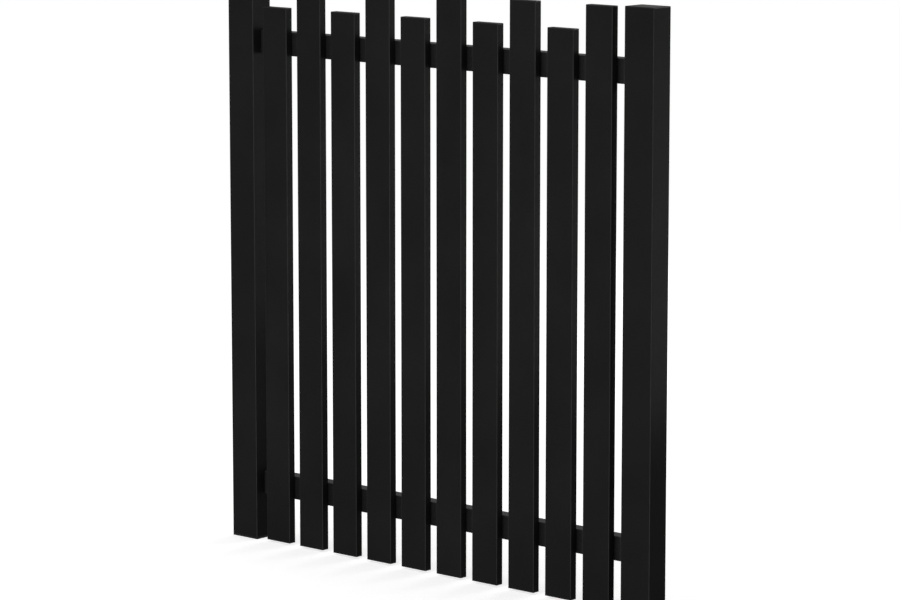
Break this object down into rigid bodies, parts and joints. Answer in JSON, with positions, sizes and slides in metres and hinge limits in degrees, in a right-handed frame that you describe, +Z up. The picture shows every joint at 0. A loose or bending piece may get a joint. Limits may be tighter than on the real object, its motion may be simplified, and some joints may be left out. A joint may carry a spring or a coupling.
{
  "type": "pedestrian gate",
  "caption": "Black steel picket gate with tall and short pickets in turn on cross rails, hung between its posts on strap hinges at the back, so that it swings open away from its front.",
  "frame": {"origin": "middle of the hinge post's foot face, at ground level", "axes": "+Z up, +X along the gate from the latch post to the hinge post, +Y from the picket side to the back"},
  "size_m": [1.144, 0.0752, 1.202],
  "materials": {
    "post_coat": "satin black powder coat on steel tube",
    "picket_coat": "satin black powder coat on steel tube",
    "rail_coat": "satin black powder coat on steel tube",
    "hinge_coat": "satin black powder coat on steel plate",
    "cap_plastic": "black moulded plastic"
  },
  "bodies": {
    "posts": {"hinge_post": "post_coat", "hinge_post_cap": "cap_plastic", "hinge_post_foot": "cap_plastic", "latch_post": "post_coat", "latch_post_cap": "cap_plastic", "latch_post_foot": "cap_plastic", "upper_hinge_pintle": "hinge_coat", "lower_hinge_pintle": "hinge_coat"},
    "leaf": {"upper_rail": "rail_coat", "lower_rail": "rail_coat", "upper_rail_end_caps": "cap_plastic", "lower_rail_end_caps": "cap_plastic", "picket_01": "picket_coat", "picket_02": "picket_coat", "picket_03": "picket_coat", "picket_04": "picket_coat", "picket_05": "picket_coat", "picket_06": "picket_coat", "picket_07": "picket_coat", "picket_08": "picket_coat", "picket_09": "picket_coat", "picket_10": "picket_coat", "picket_top_caps": "cap_plastic", "picket_bottom_caps": "cap_plastic", "upper_hinge_strap": "hinge_coat", "lower_hinge_strap": "hinge_coat"}
  },
  "joints": [
    {"name": "leaf_swing", "type": "hinge", "parent": "posts", "child": "leaf", "pos_m": [-0.051, 0.0376, 0.6], "axis": [0, 0, -1], "range_deg": [0, 110]}
  ]
}
